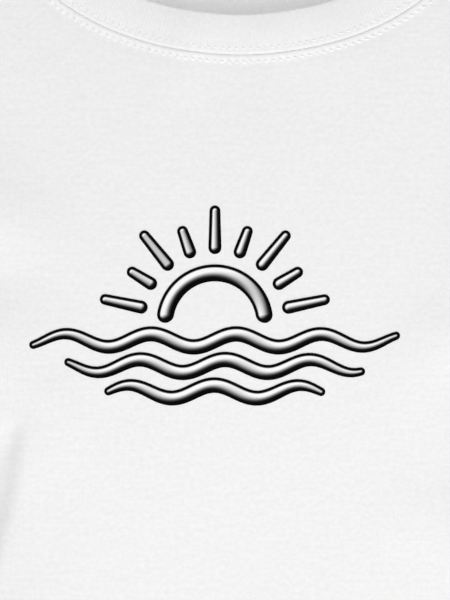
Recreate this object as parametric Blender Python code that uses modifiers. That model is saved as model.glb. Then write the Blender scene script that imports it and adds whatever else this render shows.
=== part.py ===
"""A child's short-sleeved crew-neck T-shirt, lying face up with some air in it.

Metres, +Z up, +Y towards the neck, the wearer's left at +X. The origin is the middle of the
T-shirt's box, on the surface that it lies on. The cloth follows two heights over the plan,
top_of() for the upper layer and low_of() for the lower one, which come together wherever the
cloth folds over: along the sides, the shoulders and both edges of each sleeve.
"""

from math import cos, hypot, pi, radians, sin

import bmesh
import bpy
from mathutils import Vector

# Body, measured with the T-shirt laid flat
BODY_LENGTH = 0.460  # hem to the high point of the shoulder
CHEST_WIDTH = 0.350
ARMPIT_HEIGHT = 0.285  # above the hem
SHOULDER_WIDTH = 0.316  # tip to tip
SHOULDER_DROP = 0.030
ARMHOLE_SCOOP = 0.015  # how far the armhole curves in from a straight line
ARMHOLE_LEAN = 0.8  # under 1 it curves in most below its middle

# Sleeves
SLEEVE_LENGTH = 0.148  # along the upper edge
SLEEVE_OPENING = 0.112
SLEEVE_ANGLE = radians(30)  # of the upper edge, below the horizontal

# Neck: half ellipses below the high point of the shoulder, at the seam
NECK_HALF_WIDTH = 0.097
FRONT_NECK_DROP = 0.064
BACK_NECK_DROP = 0.020
BAND_WIDTH = 0.0165
BAND_RISE = 0.006  # of the band's inner edge over the shoulder's high point
BAND_DRAW = 0.85  # of the band's width: how much narrower its inner edge is, each side
BAND_CROWN = 0.0005

# Hems, tape and cloth
HEM_DEPTH = 0.018
SLEEVE_HEM_DEPTH = 0.016
TAPE_WIDTH = 0.009
TAPE_REACH = 0.78  # of the neck's half width
CLOTH = 0.0009
DOUBLED_CLOTH = 0.0014  # a hem, turned up once
BAND_CLOTH = 0.0016  # rib, folded double
TAPE_CLOTH = 0.0006
GAP = 0.0003  # between pieces that are sewn together

# How the T-shirt lies
FOLD_HEIGHT = 0.005  # of the folded edges over the surface
FOLD_HALF = 0.0018  # the two layers' distance from FOLD_HEIGHT at a fold
FOLD_ROUND = 0.015  # how far in from a fold the cloth reaches its full height
EDGE_LOFT = 0.012  # height of the upper layer at hem and sleeves
CHEST_LOFT = 0.014  # what the chest adds to it
CHEST_HEIGHT = 0.245  # of the chest's middle above the hem
CHEST_REACH = (0.165, 0.260)  # of its swelling, across and along

HEM_Y = -(BODY_LENGTH + BAND_RISE) / 2
SHOULDER_Y = HEM_Y + BODY_LENGTH
ARMPIT_Y = HEM_Y + ARMPIT_HEIGHT
TIP_Y = SHOULDER_Y - SHOULDER_DROP
HALF_CHEST = CHEST_WIDTH / 2
HALF_SHOULDER = SHOULDER_WIDTH / 2
BAND_HALF_WIDTH = NECK_HALF_WIDTH - BAND_DRAW * BAND_WIDTH

HIGH_POINT = (NECK_HALF_WIDTH, SHOULDER_Y)
BAND_POINT = (BAND_HALF_WIDTH, SHOULDER_Y + BAND_RISE)
TIP = (HALF_SHOULDER, TIP_Y)
ARMPIT = (HALF_CHEST, ARMPIT_Y)
OPENING_TOP = (
    HALF_SHOULDER + SLEEVE_LENGTH * cos(SLEEVE_ANGLE),
    TIP_Y - SLEEVE_LENGTH * sin(SLEEVE_ANGLE),
)
OPENING_LOW = (
    OPENING_TOP[0] - SLEEVE_OPENING * sin(SLEEVE_ANGLE),
    OPENING_TOP[1] - SLEEVE_OPENING * cos(SLEEVE_ANGLE),
)
FOLDS = (
    ((HALF_CHEST, HEM_Y), ARMPIT),
    (ARMPIT, OPENING_LOW),
    (OPENING_TOP, TIP),
    (TIP, HIGH_POINT),
    (HIGH_POINT, BAND_POINT),
)

# Steps of the grids. Body and sleeve share those along the armhole, so that their edges match.
ARMHOLE_STEPS = 14
ROWS_TO_ARMPIT = 9
BODY_COLUMNS = 26
SLEEVE_ROWS = 7
BAND_COLUMNS = 36  # for each of its two arcs
TAPE_COLUMNS = 30
CUTTER_STEPS = 40
CUTTER_REACH = 0.05  # of the neck cutters, past the cloth in height and beyond the shoulders
SAME_PLACE = 1e-6  # points this near each other are welded

WHITE_JERSEY = (0.86, 0.86, 0.86, 1)
WHITE_RIB = (0.88, 0.88, 0.88, 1)
WHITE_TAPE = (0.80, 0.80, 0.80, 1)


def clear_scene():
    for thing in list(bpy.data.objects):
        bpy.data.objects.remove(thing)


def new_collection(name):
    collection = bpy.data.collections.new(name)
    bpy.context.scene.collection.children.link(collection)
    return collection


def cloth_material(name, colour, roughness):
    material = bpy.data.materials.new(name)
    material.use_nodes = True
    shader = material.node_tree.nodes["Principled BSDF"]
    shader.inputs["Base Color"].default_value = colour
    shader.inputs["Roughness"].default_value = roughness
    shader.inputs["Metallic"].default_value = 0
    return material


# The plan and the heights over it


def mix(a, b, share):
    return a + (b - a) * share


def mix_points(a, b, share):
    return (mix(a[0], b[0], share), mix(a[1], b[1], share))


def distance_to_segment(x, y, start, end):
    along = (end[0] - start[0], end[1] - start[1])
    share = ((x - start[0]) * along[0] + (y - start[1]) * along[1]) / (
        along[0] ** 2 + along[1] ** 2
    )
    nearest = mix_points(start, end, min(max(share, 0), 1))
    return hypot(x - nearest[0], y - nearest[1])


def fullness(x, y):
    """0 at a fold, rising to 1 where the cloth has reached its full height."""
    away = min(distance_to_segment(abs(x), y, *fold) for fold in FOLDS)
    return sin(min(away / FOLD_ROUND, 1) * pi / 2)


def full_height(x, y):
    """Height of the upper layer away from the folds: a low swelling over the chest."""
    across = min(abs(x) / CHEST_REACH[0], 1)
    along = min(abs(y - HEM_Y - CHEST_HEIGHT) / CHEST_REACH[1], 1)
    return EDGE_LOFT + CHEST_LOFT * (1 - across**4) ** 2 * (1 - along**2) ** 2


def top_of(x, y):
    at_fold = FOLD_HEIGHT + FOLD_HALF
    return mix(at_fold, full_height(x, y), fullness(x, y))


def low_of(x, y):
    return mix(FOLD_HEIGHT - FOLD_HALF, 0, fullness(x, y))


def body_half_width(y):
    """Straight sides up to the armpit, then the armhole's curve up to the shoulder tip."""
    share = min(max((y - ARMPIT_Y) / (TIP_Y - ARMPIT_Y), 0), 1)
    return mix(HALF_CHEST, HALF_SHOULDER, share) - ARMHOLE_SCOOP * sin(pi * share**ARMHOLE_LEAN)


def shoulder_line(x):
    """The body's upper edge: the sloping shoulder, level across the neck."""
    share = (abs(x) - NECK_HALF_WIDTH) / (HALF_SHOULDER - NECK_HALF_WIDTH)
    return SHOULDER_Y - SHOULDER_DROP * min(max(share, 0), 1)


# Building blocks


def sheet(name, columns, rows, place, collection, material, thickness, ring=False):
    """A grid whose places u, v from 0 to 1 go to place(u, v), thickened inwards.

    With ring, the first and the last column meet and are welded.
    """
    shape = bmesh.new()
    bmesh.ops.create_grid(shape, x_segments=columns, y_segments=rows, size=0.5)
    for vertex in shape.verts:
        vertex.co = place(vertex.co.x + 0.5, vertex.co.y + 0.5)
    if ring:
        bmesh.ops.remove_doubles(shape, verts=shape.verts, dist=SAME_PLACE)
    mesh = bpy.data.meshes.new(name)
    shape.to_mesh(mesh)
    shape.free()
    mesh.shade_smooth()
    mesh.materials.append(material)
    piece = bpy.data.objects.new(name, mesh)
    collection.objects.link(piece)
    solid = piece.modifiers.new("cloth thickness", "SOLIDIFY")
    solid.thickness = thickness
    solid.offset = -1
    return piece


def crowded(share):
    """Even steps from 0 to 1, made to crowd towards both ends."""
    return (1 - cos(pi * share)) / 2


def round_the_tube(u, side_columns):
    """Where place u round a flattened tube lies: how far across, and on which layer.

    The upper layer comes first, from across 0 to 1, then the lower one back again. The
    columns crowd towards the folds, where the cloth turns over.
    """
    column = round(u * 2 * (side_columns + 1)) % (2 * (side_columns + 1))
    upper = column <= side_columns
    step = column if upper else 2 * side_columns + 1 - column
    return crowded(step / side_columns), upper


def on_cloth(x, y, upper, side=1):
    """A point of the cloth over the plan point x, y, mirrored to the wearer's other side at -1."""
    return Vector((side * x, y, top_of(x, y) if upper else low_of(x, y)))


# The pieces


def neck_cutter(name, drop, collection):
    """A prism over everything inside the neck seam, a half ellipse that deep."""
    above = SHOULDER_Y + CUTTER_REACH
    outline = [(-NECK_HALF_WIDTH, above), (-NECK_HALF_WIDTH, SHOULDER_Y)]
    for step in range(1, CUTTER_STEPS):
        angle = pi * step / CUTTER_STEPS
        outline.append((-NECK_HALF_WIDTH * cos(angle), SHOULDER_Y - drop * sin(angle)))
    outline += [(NECK_HALF_WIDTH, SHOULDER_Y), (NECK_HALF_WIDTH, above)]
    curve = bpy.data.curves.new(name, "CURVE")
    curve.dimensions = "2D"
    curve.fill_mode = "BOTH"
    curve.extrude = CUTTER_REACH
    line = curve.splines.new("POLY")
    line.points.add(len(outline) - 1)
    for point, (x, y) in zip(line.points, outline):
        point.co = (x, y, 0, 1)
    line.use_cyclic_u = True
    drawn = bpy.data.objects.new(name + " outline", curve)
    collection.objects.link(drawn)
    graph = bpy.context.evaluated_depsgraph_get()
    mesh = bpy.data.meshes.new_from_object(drawn.evaluated_get(graph))
    shape = bmesh.new()
    shape.from_mesh(mesh)
    bmesh.ops.remove_doubles(shape, verts=shape.verts, dist=SAME_PLACE)
    bmesh.ops.recalc_face_normals(shape, faces=shape.faces)
    shape.to_mesh(mesh)
    shape.free()
    bpy.data.objects.remove(drawn)
    cutter = bpy.data.objects.new(name, mesh)
    cutter.hide_render = True
    cutter.display_type = "WIRE"
    collection.objects.link(cutter)
    return cutter


def body_panel(name, upper, cutter, collection, material):
    """The front or the back of the body, from the hem to the shoulders, cut out at the neck."""
    start = HEM_Y + HEM_DEPTH + GAP
    rows = ROWS_TO_ARMPIT + ARMHOLE_STEPS
    armpit_share = (ARMPIT_Y - start) / (TIP_Y - start)

    def share_of_height(row):
        if row <= ROWS_TO_ARMPIT:
            return armpit_share * row / ROWS_TO_ARMPIT
        return mix(1, armpit_share, crowded((rows - row) / ARMHOLE_STEPS))

    def place(u, v):
        across = 2 * crowded(u) - 1
        end = shoulder_line(across * HALF_SHOULDER)
        y = mix(start, end, share_of_height(round(v * rows)))
        return on_cloth(across * body_half_width(y), y, upper)

    panel = sheet(name, BODY_COLUMNS, rows, place, collection, material, CLOTH)
    if not upper:
        panel.data.flip_normals()  # the back's outer face looks down
    cut = panel.modifiers.new("neck", "BOOLEAN")
    cut.object = cutter
    cut.operation = "DIFFERENCE"
    return panel


def sleeve_plan(across, along):
    """A sleeve's plan point: across from upper to lower edge, along from armhole to opening."""
    y = mix(TIP_Y, ARMPIT_Y, across)
    start = (body_half_width(y) + GAP, y)
    end = mix_points(OPENING_TOP, OPENING_LOW, across)
    return mix_points(start, end, along)


def sleeve_length(name, side, span, rows, collection, material, thickness):
    """A length of one sleeve's tube, between two shares of the way from armhole to opening."""

    def place(u, v):
        across, upper = round_the_tube(u if side > 0 else 1 - u, ARMHOLE_STEPS)
        return on_cloth(*sleeve_plan(across, mix(*span, v)), upper, side)

    columns = 2 * (ARMHOLE_STEPS + 1)
    return sheet(name, columns, rows, place, collection, material, thickness, ring=True)


def sleeve_pieces(name, side, collection, jersey):
    hem_start = 1 - SLEEVE_HEM_DEPTH / SLEEVE_LENGTH
    gap = GAP / (OPENING_LOW[0] - HALF_CHEST)
    body_side = (0, hem_start - gap)
    hem_side = (hem_start, 1)
    sleeve_length(f"sleeve_{name}", side, body_side, SLEEVE_ROWS, collection, jersey, CLOTH)
    sleeve_length(f"sleeve_hem_{name}", side, hem_side, 1, collection, jersey, DOUBLED_CLOTH)


def bottom_hem(collection, jersey):
    def place(u, v):
        across, upper = round_the_tube(u, BODY_COLUMNS)
        return on_cloth(mix(-HALF_CHEST, HALF_CHEST, across), HEM_Y + HEM_DEPTH * v, upper)

    columns = 2 * (BODY_COLUMNS + 1)
    sheet("bottom_hem", columns, 1, place, collection, jersey, DOUBLED_CLOTH, ring=True)


def neckband(collection, rib):
    """The ring of rib: front and back arcs that fold over into each other at the shoulders."""

    def place(u, v):
        across, upper = round_the_tube(u, BAND_COLUMNS)
        angle = pi * across
        drop = FRONT_NECK_DROP if upper else BACK_NECK_DROP
        seam = (
            -(NECK_HALF_WIDTH - GAP) * cos(angle),
            SHOULDER_Y - (drop - GAP) * sin(angle),
        )
        edge = (
            -BAND_HALF_WIDTH * cos(angle),
            SHOULDER_Y + BAND_RISE - (drop - BAND_WIDTH + BAND_RISE) * sin(angle),
        )
        point = on_cloth(*mix_points(seam, edge, v), upper)
        point.z += BAND_CROWN * sin(pi * v) * (1 if upper else 0)
        return point

    columns = 2 * (BAND_COLUMNS + 1)
    sheet("neckband", columns, 2, place, collection, rib, BAND_CLOTH, ring=True)


def neck_tape(collection, cotton):
    """The tape over the back neck's seam, on the inside of the back."""
    start = TAPE_WIDTH + 2 * GAP
    lift = CLOTH + GAP + TAPE_CLOTH

    def place(u, v):
        angle = pi / 2 + (u - 0.5) * pi * TAPE_REACH
        x = -NECK_HALF_WIDTH * cos(angle)
        seam_y = SHOULDER_Y - BACK_NECK_DROP * sin(angle)
        y = seam_y - start + TAPE_WIDTH * v
        return Vector((x, y, low_of(x, y) + lift))

    sheet("neck_tape", TAPE_COLUMNS, 1, place, collection, cotton, TAPE_CLOTH)


def main():
    clear_scene()
    shirt = new_collection("child's T-shirt")
    cutters = new_collection("cutters")
    jersey = cloth_material("white jersey", WHITE_JERSEY, 0.9)
    rib = cloth_material("white rib", WHITE_RIB, 0.9)
    cotton = cloth_material("white tape", WHITE_TAPE, 0.9)
    front_cutter = neck_cutter("front neck cutter", FRONT_NECK_DROP, cutters)
    back_cutter = neck_cutter("back neck cutter", BACK_NECK_DROP, cutters)
    body_panel("body_front", True, front_cutter, shirt, jersey)
    body_panel("body_back", False, back_cutter, shirt, jersey)
    sleeve_pieces("left", 1, shirt, jersey)
    sleeve_pieces("right", -1, shirt, jersey)
    bottom_hem(shirt, jersey)
    neckband(shirt, rib)
    neck_tape(shirt, cotton)


main()
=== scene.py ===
"""A child's white short-sleeved crew-neck T-shirt, lying face up: its finish, camera and light.

The outer face of the cloth is first one thin surface, the drape, which settles by a cloth
simulation from the shape that the solids have. Each piece is then cut over the plan like a
pattern piece, as finely as it needs, and laid on the drape with its seams, hems and stitches
worked into it. Metres, +Z up, +Y towards the neck, the wearer's left at +X.
"""

from contextlib import contextmanager
from math import cos, pi, radians, sin

import bmesh
import bpy
import numpy as np
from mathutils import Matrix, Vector, noise
from mathutils.bvhtree import BVHTree
from mathutils.geometry import delaunay_2d_cdt


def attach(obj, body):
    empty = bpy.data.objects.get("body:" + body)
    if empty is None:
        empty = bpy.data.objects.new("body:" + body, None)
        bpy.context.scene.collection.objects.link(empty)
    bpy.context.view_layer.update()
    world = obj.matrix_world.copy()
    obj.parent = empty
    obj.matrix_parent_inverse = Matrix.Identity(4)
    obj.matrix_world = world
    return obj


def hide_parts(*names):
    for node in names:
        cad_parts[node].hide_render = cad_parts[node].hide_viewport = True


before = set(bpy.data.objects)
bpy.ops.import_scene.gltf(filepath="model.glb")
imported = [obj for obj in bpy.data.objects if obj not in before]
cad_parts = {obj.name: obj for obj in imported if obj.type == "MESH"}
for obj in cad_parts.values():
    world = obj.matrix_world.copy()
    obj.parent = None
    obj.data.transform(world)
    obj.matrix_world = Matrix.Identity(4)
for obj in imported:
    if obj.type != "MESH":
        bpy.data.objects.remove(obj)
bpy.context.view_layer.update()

# The T-shirt's sizes, as in the frame's solids
BODY_LENGTH = 0.460
CHEST_WIDTH = 0.350
ARMPIT_HEIGHT = 0.285
SHOULDER_WIDTH = 0.316
SHOULDER_DROP = 0.030
ARMHOLE_SCOOP = 0.015
ARMHOLE_LEAN = 0.8
SLEEVE_LENGTH = 0.148
SLEEVE_OPENING = 0.112
SLEEVE_ANGLE = radians(30)
NECK_HALF_WIDTH = 0.097
NECK_DROP = (0.064, 0.020)  # of the front and of the back
BAND_WIDTH = 0.0165
BAND_RISE = 0.006
BAND_DRAW = 0.85  # of its width, how far the band's edge is inside the seam at the shoulders
HEM_DEPTH = 0.018
SLEEVE_HEM_DEPTH = 0.016
TAPE_WIDTH = 0.009
TAPE_REACH = 0.78
FOLD_HEIGHT = 0.005
FOLD_ROUND = 0.015
EDGE_LOFT = 0.012
CHEST_LOFT = 0.014
CHEST_HEIGHT = 0.245
CHEST_REACH = (0.165, 0.260)

HEM_Y = -(BODY_LENGTH + BAND_RISE) / 2
SHOULDER_Y = HEM_Y + BODY_LENGTH
ARMPIT_Y = HEM_Y + ARMPIT_HEIGHT
TIP_Y = SHOULDER_Y - SHOULDER_DROP
HALF_CHEST = CHEST_WIDTH / 2
HALF_SHOULDER = SHOULDER_WIDTH / 2
BAND_HALF_WIDTH = NECK_HALF_WIDTH - BAND_DRAW * BAND_WIDTH
BAND_DROP = [drop - BAND_WIDTH + BAND_RISE for drop in NECK_DROP]

HEM_CORNER = (HALF_CHEST, HEM_Y)
ARMPIT = (HALF_CHEST, ARMPIT_Y)
TIP = (HALF_SHOULDER, TIP_Y)
HIGH_POINT = (NECK_HALF_WIDTH, SHOULDER_Y)
BAND_POINT = (BAND_HALF_WIDTH, SHOULDER_Y + BAND_RISE)
OPENING_TOP = (
    HALF_SHOULDER + SLEEVE_LENGTH * cos(SLEEVE_ANGLE),
    TIP_Y - SLEEVE_LENGTH * sin(SLEEVE_ANGLE),
)
OPENING_LOW = (
    OPENING_TOP[0] - SLEEVE_OPENING * sin(SLEEVE_ANGLE),
    OPENING_TOP[1] - SLEEVE_OPENING * cos(SLEEVE_ANGLE),
)
OPENING = (OPENING_LOW, OPENING_TOP)
FOLDS = (  # where the upper layer folds over into the lower one, at +X
    (HEM_CORNER, ARMPIT),
    (ARMPIT, OPENING_LOW),
    (OPENING_TOP, TIP),
    (TIP, HIGH_POINT),
    (HIGH_POINT, BAND_POINT),
)

# The photograph's frame on the T-shirt: 450 x 600 pixels of 0.4 mm
PIXEL = 0.0004
IMAGE_SIZE = (450, 600)
IMAGE_CENTRE = (-0.006, 0.064)

FRONT = 0
BACK = 1
LAYERS = (FRONT, BACK)
LAYER_SHIFT = 10  # parts the two layers in the drape's map of the plan
TINY = 1e-12  # keeps what is divided by from being nought


# Lines of the plan

ARC_POINTS = 721  # of a neckline's curve, before its points are spaced out
ARMHOLE_POINTS = 201


def mix(a, b, share):
    return a + (b - a) * share


def pairs(x, y):
    return np.stack([x, y], axis=-1)


def evenly_between(start, end, spacing):
    return np.linspace(start, end, max(1, round((end - start) / spacing)) + 1)


def evenly(points, spacing):
    """The line through those points with its points about that far apart along it."""
    points = np.asarray(points, float)
    along = np.concatenate([[0], np.cumsum(np.linalg.norm(np.diff(points, axis=0), axis=1))])
    steps = evenly_between(0, along[-1], spacing)
    return pairs(*[np.interp(steps, along, column) for column in points.T])


def line(start, end, spacing):
    """A straight line's points, about that far apart, as rows of x, y."""
    return evenly([start, end], spacing)


def mirrored(points):
    """The same line on the wearer's other side, run the other way."""
    return points[::-1] * (-1, 1)


def loop(*lines):
    """The lines end to end as one closed line, each without its last point."""
    return np.vstack([part[:-1] for part in lines])


def closed(outline):
    """A closed line with its first point again at its end."""
    return np.vstack([outline, outline[:1]])


def two_sided(hem, left, neck):
    """A closed line: the hem, the lines at +X, the neck, and the same lines at -X."""
    return loop(hem, *left, neck, *[mirrored(part) for part in reversed(left)])


def arc(half_width, middle, drop, spacing):
    """A half ellipse from +X to -X, bulging down by drop from the height middle."""
    angle = np.linspace(0, pi, ARC_POINTS)
    return evenly(pairs(half_width * np.cos(angle), middle - drop * np.sin(angle)), spacing)


def neck_seam(layer, spacing):
    return arc(NECK_HALF_WIDTH, SHOULDER_Y, NECK_DROP[layer], spacing)


def band_edge(layer, spacing):
    return arc(BAND_HALF_WIDTH, SHOULDER_Y + BAND_RISE, BAND_DROP[layer], spacing)


def armhole(spacing):
    """The seam from the armpit up to the shoulder's tip, at +X."""
    share = np.linspace(0, 1, ARMHOLE_POINTS)
    scoop = ARMHOLE_SCOOP * np.sin(pi * share**ARMHOLE_LEAN)
    x = mix(HALF_CHEST, HALF_SHOULDER, share) - scoop
    return evenly(pairs(x, mix(ARMPIT_Y, TIP_Y, share)), spacing)


def shirt_outline(layer, spacing):
    """Everything that the layer covers, with the sleeves and the neckband."""
    left = [line(*ends, spacing) for ends in (*FOLDS[:2], OPENING, *FOLDS[2:])]
    hem = line((-HALF_CHEST, HEM_Y), HEM_CORNER, spacing)
    return two_sided(hem, left, band_edge(layer, spacing))


def distance_to(points, polyline):
    """How far each point is from a line through those places."""
    return np.abs(Rail(polyline).nearest(points)[1])


def enclosed(points, outline):
    """Whether each point is inside a closed line, by the edges to its right."""
    x, y = points[:, 0], points[:, 1]
    found = np.zeros(len(points), bool)
    for (x0, y0), (x1, y1) in zip(outline, np.roll(outline, -1, axis=0)):
        if y0 == y1:
            continue
        crosses = (y0 > y) != (y1 > y)
        found ^= crosses & (x < x0 + (y - y0) * (x1 - x0) / (y1 - y0))
    return found


class Rail:
    """A line of the plan, whose places are so far along it and so far off to its left."""

    def __init__(self, points):
        self.points = np.asarray(points, float)
        steps = np.diff(self.points, axis=0)
        lengths = np.maximum(np.hypot(*steps.T), TINY)
        self.along = np.concatenate([[0], np.cumsum(lengths)])
        self.length = self.along[-1]
        ahead = steps / lengths[:, None]
        ahead = np.vstack([ahead[:1], ahead[:-1] + ahead[1:], ahead[-1:]])
        ahead /= np.hypot(*ahead.T)[:, None]
        self.left = pairs(-ahead[:, 1], ahead[:, 0])

    def at(self, along, off):
        """Plan points that far along and off."""
        columns = np.hstack([self.points, self.left]).T
        x, y, left_x, left_y = (np.interp(along, self.along, column) for column in columns)
        return pairs(x + left_x * off, y + left_y * off)

    def nearest(self, plan):
        """How far along each plan point is, and how far off."""
        plan = np.asarray(plan, float)
        closest = np.full(len(plan), np.inf)
        along, off = np.zeros(len(plan)), np.zeros(len(plan))
        for start, end, so_far in zip(self.points[:-1], self.points[1:], self.along):
            step = end - start
            away = plan - start
            share = np.clip(away @ step / max(step @ step, TINY**2), 0, 1)
            distance = np.hypot(*(away - share[:, None] * step).T)
            to_left = step[0] * away[:, 1] - step[1] * away[:, 0]
            near = distance < closest
            closest[near] = distance[near]
            along[near] = so_far + share[near] * np.hypot(*step)
            off[near] = np.where(to_left < 0, -distance, distance)[near]
        return along, off


# Heights of the cloth over the plan, before it settles


def fold_distance(x, y):
    return np.min([distance_to(pairs(np.abs(x), y), ends) for ends in FOLDS], axis=0)


def loft(x, y):
    """Height of the upper layer away from the folds."""
    across = np.minimum(np.abs(x) / CHEST_REACH[0], 1)
    along = np.minimum(np.abs(y - HEM_Y - CHEST_HEIGHT) / CHEST_REACH[1], 1)
    return EDGE_LOFT + CHEST_LOFT * (1 - across**4) ** 2 * (1 - along**2) ** 2


def first_height(x, y, layer):
    """Height before settling: both layers meet at FOLD_HEIGHT along the folds."""
    fullness = np.sin(np.minimum(fold_distance(x, y) / FOLD_ROUND, 1) * pi / 2)
    full = loft(x, y) if layer == FRONT else 0
    return mix(FOLD_HEIGHT, full, fullness)


def lumps(x, y, size, seed):
    """Smooth random heights from -1 to 1 over the plan, in lumps about that large."""
    return np.array([noise.noise((a / size, b / size, seed)) for a, b in zip(x, y)])


# Cutting and meshes

UNEVEN = 0.16  # how far the lattice's points stray, so that no fold follows its rows
CLEAR = 0.6  # the lattice's least distance from an outline, in its own spacings
BORDER_CLEAR = 0.00015  # the border lines' least distance from an outline
FILL = 1  # asks for the triangles inside the outline
NEARNESS = 1e-7  # of points that the triangles take as one
CORNER = radians(55)  # the least angle of an edge that stays sharp
BACK_COLUMNS = slice(-2, 0, -1)  # the back's, to go on from the front's last column to its first


def lattice(outline, spacing, jitter):
    """A triangular lattice of points inside an outline."""
    low, high = outline.min(axis=0), outline.max(axis=0)
    rows = np.arange(low[1], high[1], spacing * sin(pi / 3))
    columns = np.arange(low[0] - spacing, high[0] + spacing, spacing)
    x, y = np.meshgrid(columns, rows)
    x[1::2] += spacing / 2
    points = pairs(x.ravel(), y.ravel())
    points += np.random.default_rng(seed=7).uniform(-jitter, jitter, points.shape) * spacing
    points = points[enclosed(points, outline)]
    return points[distance_to(points, evenly(closed(outline), spacing)) > spacing * CLEAR]


def cut(outline, spacing, borders=(), jitter=UNEVEN):
    """Triangles that fill an outline: plan points, the outline's first, and faces.

    Each border, (rail, offsets, step), adds finer rows of points beside a seam or hem.
    """
    points = lattice(outline, spacing, jitter)
    rows = []
    for rail, offsets, step in borders:
        _, off = rail.nearest(points)
        points = points[np.abs(off) > max(offsets) + spacing * CLEAR]
        along = evenly_between(0, rail.length, step)
        for offset in offsets:
            row = rail.at(along, offset)
            row = row[enclosed(row, outline)]
            rows.append(row[distance_to(row, closed(outline)) > BORDER_CLEAR])
    every = np.vstack([outline, *rows, points])
    edge = [list(range(len(outline)))]
    found = delaunay_2d_cdt([Vector(point) for point in every], [], edge, FILL, NEARNESS)
    return np.array([tuple(point) for point in found[0]]), np.array(found[2])


def facing(faces, layer):
    """The faces of a plan, turned to look out of that layer."""
    return faces if layer == FRONT else faces[:, ::-1]


def joined(patches):
    """Several (points, faces) as one."""
    shifts = np.cumsum([0] + [len(points) for points, _ in patches])
    faces = [faces + shift for (_, faces), shift in zip(patches, shifts)]
    return np.vstack([points for points, _ in patches]), np.vstack(faces)


def placed(name, data, place=(0, 0, 0)):
    thing = bpy.data.objects.new(name, data)
    thing.location = place
    bpy.context.scene.collection.objects.link(thing)
    return thing


def object_of(name, points, faces, material=None):
    mesh = bpy.data.meshes.new(name)
    mesh.from_pydata([tuple(point) for point in points], [], [tuple(face) for face in faces])
    mesh.shade_smooth()
    if material:
        mesh.materials.append(material)
    return placed(name, mesh)


def set_uv(piece, places, name="cloth"):
    """Gives each vertex its place on the flat cloth, in metres."""
    layer = piece.data.uv_layers.new(name=name)
    corners = np.empty(len(piece.data.loops), np.int32)
    piece.data.loops.foreach_get("vertex_index", corners)
    layer.data.foreach_set("uv", np.reshape(places, (-1, 2)).astype(np.float32)[corners].ravel())


@contextmanager
def shape_of(piece):
    """The piece's mesh to work on, which is then put back."""
    shape = bmesh.new()
    shape.from_mesh(piece.data)
    yield shape
    shape.to_mesh(piece.data)
    shape.free()


def read(items, name, width):
    """That property of every item of a mesh, as rows."""
    values = np.empty(len(items) * width, np.float32)
    items.foreach_get(name, values)
    return values.reshape(-1, width).astype(float)


def weld(piece, within):
    with shape_of(piece) as shape:
        bmesh.ops.remove_doubles(shape, verts=shape.verts, dist=within)


def face_outwards(piece):
    with shape_of(piece) as shape:
        bmesh.ops.recalc_face_normals(shape, faces=shape.faces)


def set_all(target, values):
    """Sets each named property of the target."""
    for name, value in values.items():
        setattr(target, name, value)


def bake(piece):
    """Puts what the piece's modifiers make of its mesh in its place."""
    graph = bpy.context.evaluated_depsgraph_get()
    mesh = bpy.data.meshes.new_from_object(piece.evaluated_get(graph))
    piece.modifiers.clear()
    piece.data = mesh
    return mesh


def thicken(piece, thickness, inside=None):
    """Closes a sheet by giving it that thickness inwards, with crisp cut edges."""
    if inside:
        piece.data.materials.append(inside)
    solid = {"thickness": thickness, "offset": -1, "material_offset": 1 if inside else 0}
    set_all(piece.modifiers.new("cloth thickness", "SOLIDIFY"), solid)
    bake(piece).set_sharp_from_angle(angle=CORNER)


def grid(along, across):
    """Every pair of the two, as rows by columns of x, y."""
    return pairs(*np.meshgrid(along, across, indexing="ij"))


def swept_faces(columns, corners, ring):
    """Faces through closed sections, as columns of corners. A ring's last meets its first."""
    near = np.arange(columns * corners).reshape(columns, corners)
    far = np.roll(near, -1, axis=0)
    faces = np.stack([near, np.roll(near, -1, axis=1), np.roll(far, -1, axis=1), far], axis=-1)
    if ring:
        return faces.reshape(-1, 4).tolist()
    return [*faces[:-1].reshape(-1, 4).tolist(), near[0, ::-1].tolist(), near[-1].tolist()]


def open_faces(columns, corners):
    """Faces of a grid of points."""
    first = np.arange(columns * corners).reshape(columns, corners)[:-1, :-1].reshape(-1, 1)
    return first + (0, corners, corners + 1, 1)


def swept(name, sections, places, material, ring):
    """A solid through those sections, with their places on the flat cloth."""
    faces = swept_faces(*sections.shape[:2], ring)
    piece = object_of(name, sections.reshape(-1, 3), faces, material)
    face_outwards(piece)
    piece.data.set_sharp_from_angle(angle=CORNER)
    set_uv(piece, places)
    return piece


def there_and_back(there, back):
    """Sections across one face of a solid, and back across its other."""
    return np.hstack([there, back[:, ::-1]])


def all_round(name, front, back, material):
    """A ring through the front's sections and then the back's."""
    sections, places = (np.vstack([a, b[BACK_COLUMNS]]) for a, b in zip(front, back))
    return swept(name, sections, places, material, ring=True)


# The drape

DRAPE_SPACING = 0.006
DRAPE_WELD = 1e-5
SETTLE_FRAMES = 40
JERSEY = {  # how the cloth moves as it settles
    "quality": 6,
    "mass": 0.02,
    "air_damping": 2,
    "tension_stiffness": 20,
    "compression_stiffness": 20,
    "shear_stiffness": 8,
    "bending_stiffness": 40,
    "bending_stiffness_max": 120,  # at the hems and the neck
    "shrink_min": -0.024,  # the loose cloth is that much longer than its first shape
    "shrink_max": 0,
}
COLLIDER = {
    "thickness_outer": 0.001,
    "thickness_inner": 0.004,
    "cloth_friction": 8,
    "use_culling": True,
}
FINER = {  # each triangle of the settled cloth becomes twelve faces
    "levels": 2,
    "render_levels": 2,
    "uv_smooth": "PRESERVE_BOUNDARIES",
    "boundary_smooth": "PRESERVE_CORNERS",
}
HEM_REACH = 0.016  # from an open edge in to where the cloth is no stiffer
HELD_REACH = 0.02  # from the folds in to the cloth that the floor holds
FIRST_FOLDS = 0.7  # of the soft folds' rise, in the first shape
PAD_SPACING = 0.008
PAD_MARGIN = 0.009  # from the folds in to the pad that stands for the air inside
PAD_DROP = 0.002  # of the pad below the cloth's first height
PAD_LUMPS = (0.0006, 0.07)  # their rise and size
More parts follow.
